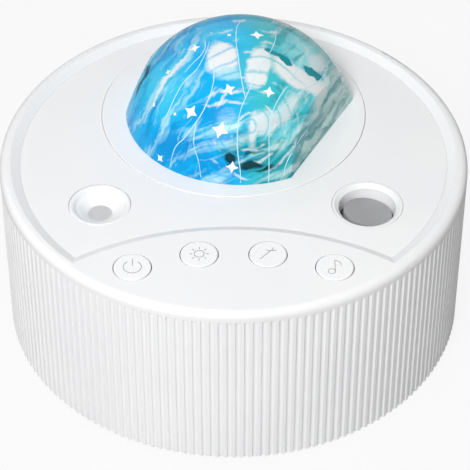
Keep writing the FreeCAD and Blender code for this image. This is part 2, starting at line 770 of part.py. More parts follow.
def make_engine():
    """The light engine: plate, lamp board, reflector, heat sink, turntable, its dome and its drive."""
    plate = cylinder(
        "EnginePlate", f"{COLLAR_SPIGOT} - engine_inset", "engine_plate_thick", "0", DOME_Y,
        "engine_plate_z",
    )
    hole = cylinder(
        "ReflectorHole", "reflector_radius + seat_gap", "engine_plate_thick", "0", DOME_Y,
        "engine_plate_z",
    )
    drive_y = f"({DOME_Y} - {GEAR_CENTRES})"
    shaft_hole = cylinder(
        "DriveHole", "shaft_radius + thrust_gap", "engine_plate_thick", "0", drive_y,
        "engine_plate_z",
    )
    screw_holes = [
        cylinder(
            f"EngineScrewHole{n}", "small_screw", "engine_plate_thick",
            *spin(POST_CIRCLE, angle, DOME_Y), "engine_plate_z",
        )
        for n, angle in enumerate(POST_ANGLES)
    ]
    lamp_pilots = [
        cylinder(
            f"LampPilot{n}", "small_screw", "engine_plate_thick", *spin(LAMP_CIRCLE, angle, DOME_Y),
            "engine_plate_z",
        )
        for n, angle in enumerate(LAMP_ANGLES)
    ]
    keep("engine_plate", cut("EngineFrame", plate, [hole, shaft_hole, *screw_holes, *lamp_pilots]))
    reflector = lathe(
        "Reflector",
        [
            ("reflector_throat", "engine_plate_z"),
            ("reflector_radius", "engine_plate_z"),
            ("reflector_radius", "engine_plate_z + reflector_height"),
            ("reflector_radius - reflector_wall", "engine_plate_z + reflector_height"),
        ],
        y=DOME_Y,
    )
    keep("reflector", reflector)
    lamp_z = "engine_plate_z - board_thick"
    board = cylinder(
        "LampBoardDisc", "reflector_radius + led_board_lap", "board_thick", "0", DOME_Y, lamp_z,
    )
    board_holes = [
        cylinder(
            f"LampBoardHole{n}", "small_screw", "board_thick", *spin(LAMP_CIRCLE, angle, DOME_Y),
            lamp_z,
        )
        for n, angle in enumerate(LAMP_ANGLES)
    ]
    keep("lamp_board", cut("LampBoard", board, board_holes))
    chips = [
        box(
            f"Lamp{n}", "led_size", "led_size", "led_thick",
            *spin("led_circle", f"45 + {90 * n}", DOME_Y), "engine_plate_z",
        )
        for n in range(4)
    ]
    keep("lamp_chips", fuse("LampChips", chips))
    sink_z = "engine_plate_z - board_thick - sink_height"
    sink_base = cylinder(
        "SinkBase", "reflector_radius - sink_inset", "sink_base", "0", DOME_Y,
        f"{sink_z} + sink_height - sink_base",
    )
    fins = [
        box(
            f"Fin{n}", "fin_thick", "2 * (reflector_radius - sink_inset)",
            "sink_height - sink_base / 2", f"({n} - (fin_count - 1) / 2) * fin_pitch", DOME_Y,
            sink_z,
        )
        for n in range(int(val("fin_count")))
    ]
    fin_round = cylinder("FinRound", "reflector_radius - sink_inset", "sink_height", "0", DOME_Y, sink_z)
    keep("heat_sink", fuse("HeatSink", [sink_base, common("RoundedFins", fuse("Fins", fins), fin_round)]))
    wheel = gear("RippleWheel", "wheel_teeth", "reflector_radius + run_gap")
    keep("ripple_wheel", at(wheel, "0", DOME_Y, GEAR_LOW))
    dome = lathe(
        "RippleDome",
        [
            ("0", f"{GEAR_TOP} + ripple_height"),
            (f"{RIPPLE_RADIUS} - ripple_round", f"{GEAR_TOP} + ripple_height"),
            (RIPPLE_RADIUS, f"{GEAR_TOP} + ripple_height - ripple_round"),
            (RIPPLE_RADIUS, GEAR_TOP),
            (f"{RIPPLE_RADIUS} - ripple_wall", GEAR_TOP),
            (
                f"{RIPPLE_RADIUS} - ripple_wall",
                f"{GEAR_TOP} + ripple_height - ripple_round - ripple_wall / 2",
            ),
            (
                f"{RIPPLE_RADIUS} - ripple_round - ripple_wall / 2",
                f"{GEAR_TOP} + ripple_height - ripple_wall",
            ),
            ("0", f"{GEAR_TOP} + ripple_height - ripple_wall"),
        ],
        y=DOME_Y,
    )
    keep("ripple_dome", dome)
    pinion = gear("DrivePinion", "pinion_teeth", "shaft_radius")
    keep("drive_pinion", at(pinion, "0", drive_y, GEAR_LOW))
    quarter = 0.75 * val("wheel_teeth")
    gap_ahead = math.floor(quarter) + 0.5 - quarter
    pinion.Placement.Rotation = Rotation(Vector(0, 0, 1), 90 - gap_ahead * 360 / val("pinion_teeth"))
    motor("drive", "0", drive_y, "engine_plate_z", GEAR_TOP)


def motor(node, x, y, plate_low, shaft_top):
    """A small motor hung under a plate, and its shaft up to the given height."""
    name = node.title()
    can = cylinder(name + "Can", "motor_radius", "motor_length", x, y, f"{plate_low} - motor_length")
    bore = cylinder(
        name + "CanBore", "shaft_radius + run_gap", "motor_length / 2", x, y,
        f"{plate_low} - motor_length / 2",
    )
    keep(node + "_motor", cut(name + "Motor", can, [bore]))
    shaft_low = f"{plate_low} - motor_length / 2 + thrust_gap"
    keep(
        node + "_shaft",
        cylinder(name + "Shaft", "shaft_radius", f"{shaft_top} - ({shaft_low})", x, y, shaft_low),
    )


LAMP_ANGLES = (90, 210, 330)


def make_module(node, side):
    """The lamp barrel, motor and patterned disc under one port, on their own plate."""
    name = node.title()
    port_x, port_y = f"({side} * {PORT_X})", f"(-{PORT_Y})"
    disc_x = f"({side} * {DISC_X})"
    disc_y = f"(-{DISC_Y})"
    outer = f"({PORT_X} + module_post_out_x + module_edge)"
    inner = f"({DISC_X} - motor_radius - module_edge)"
    front = f"({PORT_Y} + module_post_out_y + module_edge)"
    back = f"({PORT_Y} - module_post_in_y - module_edge)"
    plate = box(
        name + "PlateBox", f"{outer} - {inner}", f"{front} - {back}", "module_plate_thick",
        f"{side} * ({outer} + {inner}) / 2", f"-({front} + {back}) / 2", "module_plate_z",
    )
    tools = [
        cylinder(name + "BeamHole", "beam_radius", "module_plate_thick", port_x, port_y, "module_plate_z"),
        cylinder(
            name + "ShaftHole", "shaft_radius + thrust_gap", "module_plate_thick", disc_x, disc_y,
            "module_plate_z",
        ),
    ]
    for n, (x, y) in enumerate(MODULE_POSTS[:2] if side < 0 else MODULE_POSTS[2:]):
        tools.append(
            cylinder(f"{name}ScrewHole{n}", "small_screw", "module_plate_thick", x, y, "module_plate_z")
        )
    keep(node + "_mount", cut(name + "Mount", plate, tools))
    beam_top = f"({DISC_LOW} - beam_top_gap)"
    barrel = lathe(
        name + "Barrel",
        [
            ("0", f"{beam_top} - beam_length"),
            ("beam_radius", f"{beam_top} - beam_length"),
            ("beam_radius", MODULE_TOP),
            ("beam_radius + beam_flange", MODULE_TOP),
            ("beam_radius + beam_flange", f"{MODULE_TOP} + beam_flange"),
            ("beam_radius", f"{MODULE_TOP} + beam_flange"),
            ("beam_radius", beam_top),
            ("beam_bore", beam_top),
            ("beam_bore", f"{beam_top} - beam_bore"),
            ("0", f"{beam_top} - beam_bore"),
        ],
        port_x,
        port_y,
    )
    keep(node + "_barrel", barrel)
    lens = cylinder(
        name + "BarrelLens", "beam_bore", "beam_bore / 2", port_x, port_y,
        f"{beam_top} - beam_bore",
    )
    disc = lathe(
        name + "Disc",
        [
            ("shaft_radius", f"{DISC_LOW} - disc_thick"),
            ("disc_hub_radius", f"{DISC_LOW} - disc_thick"),
            ("disc_hub_radius", DISC_LOW),
            (DISC_RADIUS, DISC_LOW),
            (DISC_RADIUS, f"{DISC_LOW} + disc_thick"),
            ("shaft_radius", f"{DISC_LOW} + disc_thick"),
        ],
        disc_x,
        disc_y,
    )
    keep(node + "_disc", disc)
    motor(node, disc_x, disc_y, "module_plate_z", f"({DISC_LOW} + disc_thick)")
    return lens


def make_keys():
    """Four round keys on stems, each over a switch with its own plunger, on one board."""
    low = f"({PANEL_LOW} - thrust_gap - key_flange_thick)"
    switch_top = f"({KEY_BOARD_TOP} + switch_height)"
    plunger_top = f"({switch_top} + plunger_height)"
    switches = []
    for number, key in enumerate(KEYS):
        x, y = key_spot(number)
        name = key.title()
        cap = lathe(
            name + "Cap",
            [
                ("0", plunger_top),
                ("key_stem_radius", plunger_top),
                ("key_stem_radius", low),
                ("key_radius + key_flange", low),
                ("key_radius + key_flange", f"{low} + key_flange_thick"),
                ("key_radius", f"{low} + key_flange_thick"),
                ("key_radius", f"{RIM_TOP} + key_proud"),
                ("0", f"{RIM_TOP} + key_proud"),
            ],
            x,
            y,
            rounds=[(6, "key_round")],
        )
        keep(key + "_key", cap)
        plunger_low = f"({switch_top} - 2 * key_travel)"
        keep(
            key + "_plunger",
            cylinder(
                name + "Plunger", "plunger_radius", f"{plunger_top} - {plunger_low}", x, y,
                plunger_low,
            ),
        )
        block = box(
            name + "SwitchBlock", "switch_size", "switch_size", "switch_height", x, y,
            KEY_BOARD_TOP,
        )
        well = cylinder(
            name + "SwitchWell", "plunger_radius + run_gap", "4 * key_travel", x, y,
            f"{switch_top} - 4 * key_travel",
        )
        switches.append(cut(name + "Switch", block, [well]))
    keep("key_switches", fuse("KeySwitches", switches))
    slab = box(
        "KeyBoardSlab", f"2 * ({KEY_CIRCLE} * sin(1.5 * key_pitch_deg * 1 deg) + key_board_side)",
        "key_board_front + key_board_back", "board_thick", "0",
        f"(key_board_back - key_board_front) / 2 - {KEY_ROW}", f"{KEY_BOARD_TOP} - board_thick",
    )
    bound_round = cylinder(
        "KeyBoardRound", f"{DRUM_BORE} - panel_wall", "board_thick", "0", "0",
        f"{KEY_BOARD_TOP} - board_thick",
    )
    holes = [
        cylinder(f"KeyBoardHole{n}", "small_screw", "board_thick", x, y, f"{KEY_BOARD_TOP} - board_thick")
        for n, (x, y) in enumerate(KEY_POSTS)
    ]
    keep("key_board", cut("KeyBoard", common("KeyBoardRounded", slab, bound_round), holes))


def make_base():
    """The base cover with its speaker grille, foot pockets, screw holes and board standoffs."""
    plate = cylinder("BasePlate", f"{DRUM_BORE} - base_gap", "base_thick", z="foot_proud")
    standoffs = [
        cylinder(f"Standoff{n}", "standoff_radius", f"main_board_z - {BASE_TOP}", x, y, BASE_TOP)
        for n, (x, y) in enumerate(BOARD_POSTS)
    ]
    tools = []
    for n in range(4):
        x, y = BOSS_SPOTS[n]
        tools.append(cylinder(f"BaseScrewHole{n}", "screw_radius", "base_thick", x, y, "foot_proud"))
        tools.append(cylinder(f"BaseScrewSeat{n}", "screw_head", "screw_head_thick", x, y, "foot_proud"))
        x, y = FOOT_SPOTS[n]
        tools.append(
            cylinder(f"FootPocket{n}", "foot_radius", "foot_thick - foot_proud", x, y, "foot_proud")
        )
        x, y = BOARD_POSTS[n]
        tools.append(
            cylinder(
                f"StandoffPilot{n}", "small_screw", "small_length - board_thick", x, y,
                "main_board_z - small_length + board_thick",
            )
        )
    for ring in range(int(val("grille_rings")) + 1):
        count = max(1, 6 * ring)
        for n in range(count):
            x, y = spin(f"{ring} * grille_pitch", f"{360 / count * n}", f"-{SPEAKER_Y}")
            tools.append(cylinder(f"Grille{ring}x{n}", "grille_hole", "base_thick", x, y, "foot_proud"))
    for n, angle in enumerate(SPEAKER_ANGLES):
        x, y = spin(SPEAKER_SCREWS, angle, f"-{SPEAKER_Y}")
        tools.append(
            cylinder(
                f"SpeakerPilot{n}", "small_screw", "small_length", x, y,
                f"{FLANGE_TOP} - small_length",
            )
        )
    keep("base_cover", cut("BaseCover", fuse("BaseSolid", [plate, *standoffs]), tools))
    for n in range(4):
        x, y = FOOT_SPOTS[n]
        keep(f"foot_{n + 1}", cylinder(f"Foot{n}", "foot_radius", "foot_thick", x, y))


BOARD_POSTS = [
    (f"{side} * (main_board_wide / 2 - board_hole_inset)", y)
    for y in (f"{BOARD_BACK} - main_board_deep + board_hole_inset", f"{BOARD_BACK} - board_hole_back")
    for side in (-1, 1)
]
SPEAKER_ANGLES = (90, 210, 330)


def make_speaker():
    """The speaker that faces down through the grille: gasket, surround, cone, basket and magnet."""
    y = f"-{SPEAKER_Y}"
    low = f"({SPEAKER_LOW} + surround_thick)"
    gasket_holes = speaker_holes("Gasket", "gasket_thick", BASE_TOP)
    gasket_bore = cylinder("GasketBore", "cone_radius + surround_width", "gasket_thick", "0", y, BASE_TOP)
    gasket = cylinder("GasketDisc", "speaker_radius", "gasket_thick", "0", y, BASE_TOP)
    keep("speaker_gasket", cut("SpeakerGasket", gasket, [gasket_bore, *gasket_holes]))
    surround_holes = speaker_holes("Surround", "surround_thick", SPEAKER_LOW)
    surround_bore = cylinder("SurroundBore", "cone_radius", "surround_thick", "0", y, SPEAKER_LOW)
    surround = cylinder("SurroundDisc", "speaker_radius", "surround_thick", "0", y, SPEAKER_LOW)
    keep("speaker_surround", cut("SpeakerSurround", surround, [surround_bore, *surround_holes]))
    basket = lathe(
        "BasketTurned",
        [
            (f"{BASKET_RADIUS} - basket_wall", low),
            ("speaker_radius", low),
            ("speaker_radius", f"{low} + speaker_flange_thick"),
            (BASKET_RADIUS, f"{low} + speaker_flange_thick"),
            ("magnet_radius + basket_wall", f"{low} + basket_height"),
            ("coil_radius + coil_gap", f"{low} + basket_height"),
            ("coil_radius + coil_gap", f"{low} + basket_height - basket_wall"),
            ("magnet_radius", f"{low} + basket_height - basket_wall"),
        ],
        y=y,
    )
    keep(
        "speaker_basket",
        cut("SpeakerBasket", basket, speaker_holes("Basket", "speaker_flange_thick", low)),
    )
    magnet = lathe(
        "Magnet",
        [
            ("0", f"{low} + basket_height + magnet_thick"),
            ("magnet_radius", f"{low} + basket_height + magnet_thick"),
            ("magnet_radius", f"{low} + basket_height"),
            ("coil_radius + coil_gap", f"{low} + basket_height"),
            ("coil_radius + coil_gap", f"{low} + basket_height + coil_depth"),
            ("0", f"{low} + basket_height + coil_depth"),
        ],
        y=y,
    )
    keep("speaker_magnet", magnet)
    cone_turned = lathe(
        "SpeakerCone",
        [
            ("cone_radius", SPEAKER_LOW),
            ("cone_radius", low),
            ("coil_radius", f"{low} + basket_height - 2 * basket_wall"),
            ("coil_radius", f"{low} + basket_height + coil_depth / 2"),
            ("coil_radius - cone_thick", f"{low} + basket_height + coil_depth / 2"),
            ("coil_radius - cone_thick", f"{low} + basket_height - 2 * basket_wall - cone_thick"),
            ("cone_radius - cone_thick", SPEAKER_LOW),
        ],
        y=y,
    )
    cap_z = f"{low} + basket_height - 2 * basket_wall"
    cap = cylinder("DustCap", "coil_radius - cone_thick / 2", "cone_thick", "0", y, cap_z)
    keep("speaker_cone", fuse("CappedCone", [cone_turned, cap]))


def speaker_holes(name, thick, z):
    return [
        cylinder(f"{name}Hole{n}", "small_screw", thick, *spin(SPEAKER_SCREWS, angle, f"-{SPEAKER_Y}"), z)
        for n, angle in enumerate(SPEAKER_ANGLES)
    ]


def make_main_board():
    """The main board by the rear wall with the power socket, chips, capacitors and a radio module."""
    slab = box(
        "MainBoardSlab", "main_board_wide", "main_board_deep", "board_thick", "0", BOARD_MIDDLE,
        "main_board_z",
    )
    holes = [
        cylinder(f"MainBoardHole{n}", "small_screw", "board_thick", x, y, "main_board_z")
        for n, (x, y) in enumerate(BOARD_POSTS)
    ]
    keep("main_board", cut("MainBoard", slab, holes))
    socket_y = "drum_radius - recess_depth - socket_length / 2 - seat_gap"
    shell = box(
        "SocketShell", "socket_width", "socket_length", "socket_height", "0", socket_y,
        MAIN_BOARD_TOP,
    )
    mouth = box(
        "SocketMouth", "socket_width - 2 * socket_wall", "socket_length", "socket_height - 2 * socket_wall",
        "0", f"{socket_y} + 2 * socket_wall", f"{MAIN_BOARD_TOP} + socket_wall",
    )
    tongue = box(
        "SocketTongue", "socket_width - 6 * socket_wall", "socket_length - 3 * socket_wall", "socket_tongue",
        "0", f"{socket_y} - socket_wall", f"{MAIN_BOARD_TOP} + (socket_height - socket_tongue) / 2",
    )
    keep("power_socket", fuse("PowerSocket", [cut("SocketTube", shell, [mouth]), tongue]))
    chips = [
        box(f"Chip{n}", wide, deep, high, x, y, MAIN_BOARD_TOP)
        for n, (wide, deep, high, x, y) in enumerate(CHIPS)
    ]
    keep("board_chips", fuse("BoardChips", chips))
    cans = [
        cylinder(f"Capacitor{n}", "can_radius", "can_height", x, y, MAIN_BOARD_TOP)
        for n, (x, y) in enumerate(CAPACITORS)
    ]
    keep("board_capacitors", fuse("BoardCapacitors", cans))
    spot = ("-main_board_wide / 4", f"{BOARD_MIDDLE} - main_board_deep / 8")
    shield_deep = "radio_deep - 2 * shield_inset"
    radio = box("RadioBoard", "radio_wide", "radio_deep", "radio_thick", *spot, MAIN_BOARD_TOP)
    shield = box(
        "RadioShield", shield_deep, shield_deep, "shield_height", *spot,
        f"{MAIN_BOARD_TOP} + radio_thick",
    )
    keep("radio_board", radio)
    keep("radio_shield", shield)


CHIPS = (
    ("chip_side", "chip_side", "chip_thick", "main_board_wide / 8", BOARD_MIDDLE),
    (
        "chip_side * 0.6", "chip_side / 2", "chip_thick", "main_board_wide / 4",
        f"{BOARD_MIDDLE} + main_board_deep / 5",
    ),
    (
        "chip_side / 2", "chip_side * 0.4", "chip_thick", "-main_board_wide / 8",
        f"{BOARD_MIDDLE} + main_board_deep / 5",
    ),
)
CAPACITORS = (
    ("main_board_wide * 0.3", f"{BOARD_MIDDLE} - main_board_deep / 4"),
    ("main_board_wide * 0.12", f"{BOARD_MIDDLE} - main_board_deep * 0.3"),
    ("-main_board_wide * 0.28", f"{BOARD_MIDDLE} + main_board_deep * 0.18"),
)


def screws(name, spots, radius, length, head, head_thick, z, up=True):
    """A set of equal screws at the given spots, with their heads' seats at z, driven up or down."""
    solids = []
    for n, (x, y) in enumerate(spots):
        if up:
            shank = cylinder(f"{name}Shank{n}", radius, length, x, y, z)
            cap = cylinder(f"{name}Head{n}", head, head_thick, x, y, f"{z} - {head_thick}")
        else:
            shank = cylinder(f"{name}Shank{n}", radius, length, x, y, f"{z} - ({length})")
            cap = cylinder(f"{name}Head{n}", head, head_thick, x, y, z)
        solids += [shank, cap]
    return fuse(name, solids)


def make_screws():
    """The screws, one node for each size of screw."""
    big = ("screw_radius", "screw_length", "screw_head", "screw_head_thick")
    keep("base_screws", screws("BaseScrews", BOSS_SPOTS, *big, "(foot_proud + screw_head_thick)"))
    head = ("small_head", "small_head_thick")
    ledge = ("small_screw", "ledge_thick + deck_thick / 2")
    keep("deck_screws", screws("DeckScrews", DECK_SCREWS, *ledge, *head, LEDGE_LOW))
    lamp = ("small_screw", "board_thick + engine_plate_thick")
    lamp_spots = [spin(LAMP_CIRCLE, angle, DOME_Y) for angle in LAMP_ANGLES]
    keep("lamp_screws", screws("LampScrews", lamp_spots, *lamp, *head, "(engine_plate_z - board_thick)"))
    small = ("small_screw", "small_length", *head)
    posts = [spin(POST_CIRCLE, angle, DOME_Y) for angle in POST_ANGLES]
    speaker = [spin(SPEAKER_SCREWS, angle, f"-{SPEAKER_Y}") for angle in SPEAKER_ANGLES]
    sets = [
        screws("EngineScrews", posts, *small, "engine_plate_z"),
        screws("ModuleScrews", MODULE_POSTS, *small, "module_plate_z"),
        screws("KeyBoardScrews", KEY_POSTS, *small, f"({KEY_BOARD_TOP} - board_thick)"),
        screws("MainBoardScrews", BOARD_POSTS, *small, MAIN_BOARD_TOP, up=False),
        screws("SpeakerScrews", speaker, *small, FLANGE_TOP, up=False),
    ]
    keep("small_screws", fuse("SmallScrews", sets))


def write_parts():
    doc.recompute()
    for thing in doc.Objects:
        if {"Invalid", "Error"} & set(thing.State):
            raise RuntimeError(f"{thing.Name} ({thing.Label}) failed: {thing.State}")
    for node, thing in KEPT.items():
        shape = thing.Shape
        if shape.isNull() or not shape.isValid() or not shape.Solids:
            raise RuntimeError(f"{node} has no valid solid")
    os.makedirs("parts", exist_ok=True)
    for node, thing in KEPT.items():
        thing.Shape.exportStep(f"parts/{node}.step")
        print(node, len(thing.Shape.Solids), round(thing.Shape.Volume, 1))


make_housing()
make_deck()
make_collar()
make_dome()
bezel(
    "star_port_bezel", "StarBezel", -1, "star_port_radius", "star_port_lip", "star_port_throat",
    "star_port_depth",
)
bezel(
    "sky_port_bezel", "SkyBezel", 1, "sky_port_radius", "sky_port_lip", "sky_port_throat",
    "sky_port_depth",
)
make_star_window()
make_sky_optics()
make_engine()
keep("barrel_lenses", fuse("BarrelLenses", [make_module("star", -1), make_module("sky", 1)]))
make_keys()
make_base()
make_speaker()
make_main_board()
make_screws()
write_parts()
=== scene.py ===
"""Star night light projector, dressed for rendering. Metres, +Z up, front towards -Y."""

import math

import bmesh
import bpy
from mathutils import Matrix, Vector


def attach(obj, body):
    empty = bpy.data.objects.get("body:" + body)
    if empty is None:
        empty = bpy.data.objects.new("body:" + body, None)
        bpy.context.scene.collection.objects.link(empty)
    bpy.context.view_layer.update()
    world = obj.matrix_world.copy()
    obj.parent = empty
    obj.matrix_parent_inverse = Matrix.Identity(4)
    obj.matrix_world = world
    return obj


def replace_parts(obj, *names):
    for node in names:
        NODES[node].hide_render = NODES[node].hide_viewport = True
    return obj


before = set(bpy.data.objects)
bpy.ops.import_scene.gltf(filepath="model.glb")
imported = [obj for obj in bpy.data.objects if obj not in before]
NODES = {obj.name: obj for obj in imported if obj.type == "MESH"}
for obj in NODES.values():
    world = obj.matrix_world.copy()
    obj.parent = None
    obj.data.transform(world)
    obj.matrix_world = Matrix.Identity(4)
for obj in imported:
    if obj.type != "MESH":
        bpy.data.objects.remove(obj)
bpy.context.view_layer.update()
MM = 0.001


# Material building

GRAIN_DEPTH = 0.1 * MM
WAVE_DEPTH = 0.6 * MM
OPTIC_IOR = 1.45
OPTIC_RELIEF = 0.15


def shader(name):
    """A new material: itself, its node tree, its Principled shader and its object coordinates."""
    material = bpy.data.materials.new(name)
    material.use_nodes = True
    tree = material.node_tree
    principled = tree.nodes["Principled BSDF"]
    coords = tree.nodes.new("ShaderNodeTexCoord").outputs["Object"]
    return material, tree, principled, coords


def node(tree, kind, inputs=(), **settings):
    """A new node with its settings, each input linked to a socket or set to a value."""
    made = tree.nodes.new("ShaderNode" + kind)
    for key, value in settings.items():
        setattr(made, key, value)
    for key, value in dict(inputs).items():
        if isinstance(value, bpy.types.NodeSocket):
            tree.links.new(value, made.inputs[key])
        else:
            made.inputs[key].default_value = value
    return made


def noise(tree, coords, scale, detail=2.0, distortion=0.0):
    inputs = {"Vector": coords, "Scale": scale, "Detail": detail, "Distortion": distortion}
    return node(tree, "TexNoise", inputs).outputs["Fac"]


def stretch(tree, coords, scale):
    return node(tree, "Mapping", {"Vector": coords, "Scale": scale}).outputs["Vector"]


def ramp(tree, value, low, high, out_low=0.0, out_high=1.0):
    """Maps low..high of a value to out_low..out_high, clamped."""
    made = node(tree, "MapRange", {0: value, 1: low, 2: high, 3: out_low, 4: out_high})
    return made.outputs[0]


def spread(tree, value, out_low=0.0, out_high=1.0):
    """Maps a noise, which keeps mostly to the middle of its range, to out_low..out_high."""
    return ramp(tree, value, 0.3, 0.7, out_low, out_high)


def mix(tree, share, one, other):
    """One colour with a share of the other over it. Each is a socket or a value."""
    made = tree.nodes.new("ShaderNodeMix")
    made.data_type = "RGBA"
    for socket, value in ((made.inputs[0], share), (made.inputs[6], one), (made.inputs[7], other)):
        if isinstance(value, bpy.types.NodeSocket):
            tree.links.new(value, socket)
        elif hasattr(value, "__len__"):
            socket.default_value = (*value, 1.0)
        else:
            socket.default_value = value
    return made.outputs[2]


def bump(tree, height, principled, strength, distance):
    made = node(tree, "Bump", {"Height": height, "Strength": strength, "Distance": distance})
    tree.links.new(made.outputs[0], principled.inputs["Normal"])


def solid(
    name, light, dark, rough, rough_spread=0.06, metal=0.0, grain=900.0, cloud=25.0, relief=0.05,
    brushed=None, **sockets,
):
    """An opaque material: a cloud between two tones, a fine grain in its gloss and its relief."""
    material, tree, principled, coords = shader(name)
    fine = noise(tree, stretch(tree, coords, brushed) if brushed else coords, grain)
    tone = spread(tree, noise(tree, coords, cloud))
    gloss = spread(tree, fine, rough - rough_spread, rough + rough_spread)
    tree.links.new(mix(tree, tone, light, dark), principled.inputs["Base Color"])
    tree.links.new(gloss, principled.inputs["Roughness"])
    principled.inputs["Metallic"].default_value = metal
    for key, value in sockets.items():
        principled.inputs[key.replace("_", " ")].default_value = value
    bump(tree, fine, principled, relief, GRAIN_DEPTH)
    return material


def clear(name, light, dark, rough=0.03, wave=90.0, transmission=1.0):
    """A see-through material with a faint uneven surface."""
    material, tree, principled, coords = shader(name)
    slow = noise(tree, coords, wave)
    gloss = spread(tree, noise(tree, coords, 400.0), rough, rough + 0.05)
    tree.links.new(mix(tree, spread(tree, slow), light, dark), principled.inputs["Base Color"])
    tree.links.new(gloss, principled.inputs["Roughness"])
    principled.inputs["Transmission Weight"].default_value = transmission
    principled.inputs["IOR"].default_value = OPTIC_IOR
    bump(tree, slow, principled, OPTIC_RELIEF, WAVE_DEPTH)
    return material


WHITE = solid("white_shell", (0.86, 0.86, 0.865), (0.83, 0.83, 0.84), 0.34, relief=0.03)
KEY_WHITE = solid("white_keys", (0.88, 0.88, 0.885), (0.86, 0.86, 0.87), 0.3, relief=0.02)
BASE_WHITE = solid("white_base", (0.8, 0.8, 0.81), (0.76, 0.76, 0.77), 0.5, relief=0.2)
INK = solid("key_ink", (0.33, 0.33, 0.35), (0.27, 0.27, 0.29), 0.5)
PALE_LINE = solid("dome_line", (0.62, 0.87, 0.93), (0.5, 0.8, 0.9), 0.25)
STAR_WHITE = solid("dome_star", (0.95, 0.98, 1.0), (0.86, 0.95, 1.0), 0.3)
DARK = solid("dark_plastic", (0.02, 0.02, 0.022), (0.035, 0.035, 0.04), 0.5)
RUBBER = solid("rubber", (0.05, 0.05, 0.052), (0.035, 0.035, 0.037), 0.75, grain=2500.0, relief=0.3)
STEEL = solid("steel", (0.55, 0.56, 0.57), (0.45, 0.46, 0.47), 0.3, metal=1.0, brushed=(1, 1, 12))
SCREW = solid("screw_steel", (0.5, 0.51, 0.53), (0.42, 0.43, 0.45), 0.36, metal=1.0)
ALUMINIUM = solid("aluminium", (0.74, 0.75, 0.76), (0.64, 0.65, 0.66), 0.35, metal=1.0, brushed=(1, 12, 1))
CHROME = solid("mirror_cup", (0.92, 0.92, 0.93), (0.85, 0.85, 0.86), 0.08, 0.03, metal=1.0)
BRASS = solid("brass", (0.72, 0.5, 0.2), (0.62, 0.42, 0.16), 0.28, metal=1.0, brushed=(1, 1, 14))
ACETAL = solid("acetal", (0.84, 0.84, 0.8), (0.78, 0.78, 0.74), 0.4, Subsurface_Weight=0.1)
LAMP_WHITE = solid("lamp_board_white", (0.84, 0.84, 0.81), (0.76, 0.76, 0.73), 0.45)
LAMP_YELLOW = solid("lamp_yellow", (0.9, 0.75, 0.16), (0.8, 0.62, 0.1), 0.3)
GREEN_BOARD = solid("circuit_board", (0.01, 0.09, 0.03), (0.008, 0.065, 0.022), 0.35, cloud=160.0)
BLACK_METAL = solid("black_metal", (0.025, 0.025, 0.027), (0.04, 0.04, 0.043), 0.42)
PAPER = solid("cone_paper", (0.03, 0.03, 0.031), (0.055, 0.053, 0.05), 0.85, grain=1800.0, relief=0.6)
CLEAR = clear("clear_optic", (0.96, 0.99, 1.0), (0.88, 0.95, 0.98))
FROSTED = clear("frosted_window", (0.74, 0.74, 0.75), (0.6, 0.6, 0.61), rough=0.35, transmission=0.25)
SMOKED = clear(
    "smoked_lens", (0.5, 0.5, 0.51), (0.4, 0.4, 0.41), rough=0.12, wave=40.0, transmission=0.35,
)
BLUE_DISC = clear("tinted_disc", (0.3, 0.45, 0.9), (0.5, 0.3, 0.8), transmission=0.8)

# Which nodes wear each material
WEAR = {
    WHITE: ("drum_housing", "deck_plate", "dome_collar", "star_port_bezel", "sky_port_bezel"),
    KEY_WHITE: ("power_key", "light_key", "mode_key", "music_key"),
    CLEAR: ("ripple_dome", "barrel_lenses", "star_disc"),
    FROSTED: ("star_window",),
    SMOKED: ("sky_lens",),
    BLUE_DISC: ("sky_disc",),
    DARK: (
        "sky_lens_barrel", "engine_plate", "star_mount", "sky_mount", "key_switches", "board_chips",
        "power_plunger", "light_plunger", "mode_plunger", "music_plunger",
    ),
    CHROME: ("reflector",),
    LAMP_WHITE: ("lamp_board",),
    LAMP_YELLOW: ("lamp_chips",),
    ALUMINIUM: ("heat_sink", "board_capacitors"),
    ACETAL: ("ripple_wheel",),
    BRASS: ("drive_pinion", "star_barrel", "sky_barrel"),
    STEEL: (
        "drive_motor", "star_motor", "sky_motor", "drive_shaft", "star_shaft", "sky_shaft", "power_socket",
        "radio_shield",
    ),
    SCREW: ("base_screws", "deck_screws", "lamp_screws", "small_screws"),
    BASE_WHITE: ("base_cover",),
    RUBBER: ("foot_1", "foot_2", "foot_3", "foot_4", "speaker_gasket", "speaker_surround"),
    GREEN_BOARD: ("key_board", "main_board", "radio_board"),
    BLACK_METAL: ("speaker_basket", "speaker_magnet"),
    PAPER: ("speaker_cone",),
}


def wear(thing, material):
    """Gives a piece one material and returns the piece."""
    thing.data.materials.clear()
    thing.data.materials.append(material)
    return thing


for material, names in WEAR.items():
    for name in names:
        wear(NODES[name], material)


# The dome

DOME_FOOT = Vector((2.4, 24.0, 66.05)) * MM
DOME_RADIUS = 40.2 * MM
DOME_HEIGHT = 32.0 * MM
DOME_WALL = 2.6 * MM

# Edges shorter than this are closed up
SLIVER = 0.02 * MM

# Flat faces: direction in degrees, distance as a share of the radius, lean in degrees
FACETS = ((-28, 0.8, 6), (163, 0.95, 17))


def mesh_object(name, mesh, body="projector"):
    """A mesh put in the scene, riding on a body of the frame."""
    made = bpy.data.objects.new(name, mesh)
    bpy.context.scene.collection.objects.link(made)
    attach(made, body)
    return made


def from_bmesh(name, work, smooth=30):
    """A smooth-shaded piece, sharp where its faces turn by more than smooth degrees, or nowhere for None."""
    mesh = bpy.data.meshes.new(name)
    work.to_mesh(mesh)
    work.free()
    mesh.shade_smooth()
    if smooth is not None:
        mesh.set_sharp_from_angle(angle=math.radians(smooth))
    return mesh_object(name, mesh)


